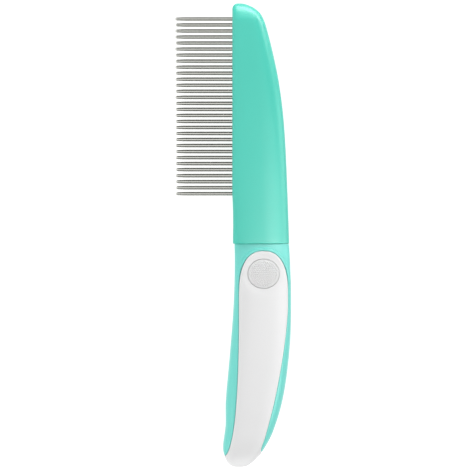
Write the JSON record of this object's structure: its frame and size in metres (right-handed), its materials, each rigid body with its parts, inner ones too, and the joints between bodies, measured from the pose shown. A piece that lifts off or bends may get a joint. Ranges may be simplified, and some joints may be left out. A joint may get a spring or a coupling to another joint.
{
  "type": "pet comb",
  "caption": "Pet comb: a row of round steel pins that turn freely in a curved plastic head, on a slim handle with inset grip covers and a round thumb pad.",
  "frame": {"origin": "under the middle of the comb's box, on the surface that the comb lies on with its front face up", "axes": "+X from the pin tips to the spine, +Y from the butt to the tip of the head, +Z out of the front face"},
  "size_m": [0.05, 0.2, 0.018],
  "materials": {
    "head_green": "smooth moulded, satin gloss",
    "bar_green": "smooth moulded",
    "handle_green": "smooth moulded, satin gloss",
    "grip_white": "fine matte",
    "pad_white": "fine dotted texture",
    "pin_steel": "polished"
  },
  "bodies": {
    "comb": {"head_front_shell": "head_green", "head_rear_shell": "head_green", "pin_bar": "bar_green", "pin_retainer": "bar_green", "handle_core": "handle_green", "front_grip": "grip_white", "rear_grip": "grip_white", "front_thumb_pad": "pad_white", "rear_thumb_pad": "pad_white"},
    "turning_pin_01": {"pin_01": "pin_steel"},
    "turning_pin_02": {"pin_02": "pin_steel"},
    "turning_pin_03": {"pin_03": "pin_steel"},
    "turning_pin_04": {"pin_04": "pin_steel"},
    "turning_pin_05": {"pin_05": "pin_steel"},
    "turning_pin_06": {"pin_06": "pin_steel"},
    "turning_pin_07": {"pin_07": "pin_steel"},
    "turning_pin_08": {"pin_08": "pin_steel"},
    "turning_pin_09": {"pin_09": "pin_steel"},
    "turning_pin_10": {"pin_10": "pin_steel"},
    "turning_pin_11": {"pin_11": "pin_steel"},
    "turning_pin_12": {"pin_12": "pin_steel"},
    "turning_pin_13": {"pin_13": "pin_steel"},
    "turning_pin_14": {"pin_14": "pin_steel"},
    "turning_pin_15": {"pin_15": "pin_steel"},
    "turning_pin_16": {"pin_16": "pin_steel"},
    "turning_pin_17": {"pin_17": "pin_steel"},
    "turning_pin_18": {"pin_18": "pin_steel"},
    "turning_pin_19": {"pin_19": "pin_steel"},
    "turning_pin_20": {"pin_20": "pin_steel"},
    "turning_pin_21": {"pin_21": "pin_steel"},
    "turning_pin_22": {"pin_22": "pin_steel"},
    "turning_pin_23": {"pin_23": "pin_steel"},
    "turning_pin_24": {"pin_24": "pin_steel"},
    "turning_pin_25": {"pin_25": "pin_steel"},
    "turning_pin_26": {"pin_26": "pin_steel"},
    "turning_pin_27": {"pin_27": "pin_steel"},
    "turning_pin_28": {"pin_28": "pin_steel"},
    "turning_pin_29": {"pin_29": "pin_steel"},
    "turning_pin_30": {"pin_30": "pin_steel"}
  },
  "joints": [
    {"name": "pin_01_spin", "type": "hinge", "parent": "comb", "child": "turning_pin_01", "pos_m": [0, 0.0933, 0.009], "axis": [1, 0, 0], "continuous": true},
    {"name": "pin_02_spin", "type": "hinge", "parent": "comb", "child": "turning_pin_02", "pos_m": [0, 0.0907, 0.009], "axis": [1, 0, 0], "continuous": true},
    {"name": "pin_03_spin", "type": "hinge", "parent": "comb", "child": "turning_pin_03", "pos_m": [0, 0.0881, 0.009], "axis": [1, 0, 0], "continuous": true},
    {"name": "pin_04_spin", "type": "hinge", "parent": "comb", "child": "turning_pin_04", "pos_m": [0, 0.0855, 0.009], "axis": [1, 0, 0], "continuous": true},
    {"name": "pin_05_spin", "type": "hinge", "parent": "comb", "child": "turning_pin_05", "pos_m": [0, 0.0829, 0.009], "axis": [1, 0, 0], "continuous": true},
    {"name": "pin_06_spin", "type": "hinge", "parent": "comb", "child": "turning_pin_06", "pos_m": [0, 0.0803, 0.009], "axis": [1, 0, 0], "continuous": true},
    {"name": "pin_07_spin", "type": "hinge", "parent": "comb", "child": "turning_pin_07", "pos_m": [0, 0.0777, 0.009], "axis": [1, 0, 0], "continuous": true},
    {"name": "pin_08_spin", "type": "hinge", "parent": "comb", "child": "turning_pin_08", "pos_m": [0, 0.0751, 0.009], "axis": [1, 0, 0], "continuous": true},
    {"name": "pin_09_spin", "type": "hinge", "parent": "comb", "child": "turning_pin_09", "pos_m": [0, 0.0725, 0.009], "axis": [1, 0, 0], "continuous": true},
    {"name": "pin_10_spin", "type": "hinge", "parent": "comb", "child": "turning_pin_10", "pos_m": [0, 0.0699, 0.009], "axis": [1, 0, 0], "continuous": true},
    {"name": "pin_11_spin", "type": "hinge", "parent": "comb", "child": "turning_pin_11", "pos_m": [0, 0.0673, 0.009], "axis": [1, 0, 0], "continuous": true},
    {"name": "pin_12_spin", "type": "hinge", "parent": "comb", "child": "turning_pin_12", "pos_m": [0, 0.0647, 0.009], "axis": [1, 0, 0], "continuous": true},
    {"name": "pin_13_spin", "type": "hinge", "parent": "comb", "child": "turning_pin_13", "pos_m": [0, 0.0621, 0.009], "axis": [1, 0, 0], "continuous": true},
    {"name": "pin_14_spin", "type": "hinge", "parent": "comb", "child": "turning_pin_14", "pos_m": [0, 0.0595, 0.009], "axis": [1, 0, 0], "continuous": true},
    {"name": "pin_15_spin", "type": "hinge", "parent": "comb", "child": "turning_pin_15", "pos_m": [0, 0.0569, 0.009], "axis": [1, 0, 0], "continuous": true},
    {"name": "pin_16_spin", "type": "hinge", "parent": "comb", "child": "turning_pin_16", "pos_m": [0, 0.0543, 0.009], "axis": [1, 0, 0], "continuous": true},
    {"name": "pin_17_spin", "type": "hinge", "parent": "comb", "child": "turning_pin_17", "pos_m": [0, 0.0517, 0.009], "axis": [1, 0, 0], "continuous": true},
    {"name": "pin_18_spin", "type": "hinge", "parent": "comb", "child": "turning_pin_18", "pos_m": [0, 0.0491, 0.009], "axis": [1, 0, 0], "continuous": true},
    {"name": "pin_19_spin", "type": "hinge", "parent": "comb", "child": "turning_pin_19", "pos_m": [0, 0.0465, 0.009], "axis": [1, 0, 0], "continuous": true},
    {"name": "pin_20_spin", "type": "hinge", "parent": "comb", "child": "turning_pin_20", "pos_m": [0, 0.0439, 0.009], "axis": [1, 0, 0], "continuous": true},
    {"name": "pin_21_spin", "type": "hinge", "parent": "comb", "child": "turning_pin_21", "pos_m": [0, 0.0413, 0.009], "axis": [1, 0, 0], "continuous": true},
    {"name": "pin_22_spin", "type": "hinge", "parent": "comb", "child": "turning_pin_22", "pos_m": [0, 0.0387, 0.009], "axis": [1, 0, 0], "continuous": true},
    {"name": "pin_23_spin", "type": "hinge", "parent": "comb", "child": "turning_pin_23", "pos_m": [0, 0.0361, 0.009], "axis": [1, 0, 0], "continuous": true},
    {"name": "pin_24_spin", "type": "hinge", "parent": "comb", "child": "turning_pin_24", "pos_m": [0, 0.0335, 0.009], "axis": [1, 0, 0], "continuous": true},
    {"name": "pin_25_spin", "type": "hinge", "parent": "comb", "child": "turning_pin_25", "pos_m": [0, 0.0309, 0.009], "axis": [1, 0, 0], "continuous": true},
    {"name": "pin_26_spin", "type": "hinge", "parent": "comb", "child": "turning_pin_26", "pos_m": [0, 0.0283, 0.009], "axis": [1, 0, 0], "continuous": true},
    {"name": "pin_27_spin", "type": "hinge", "parent": "comb", "child": "turning_pin_27", "pos_m": [0, 0.0257, 0.009], "axis": [1, 0, 0], "continuous": true},
    {"name": "pin_28_spin", "type": "hinge", "parent": "comb", "child": "turning_pin_28", "pos_m": [0, 0.0231, 0.009], "axis": [1, 0, 0], "continuous": true},
    {"name": "pin_29_spin", "type": "hinge", "parent": "comb", "child": "turning_pin_29", "pos_m": [0, 0.0205, 0.009], "axis": [1, 0, 0], "continuous": true},
    {"name": "pin_30_spin", "type": "hinge", "parent": "comb", "child": "turning_pin_30", "pos_m": [0, 0.0179, 0.009], "axis": [1, 0, 0], "continuous": true}
  ]
}
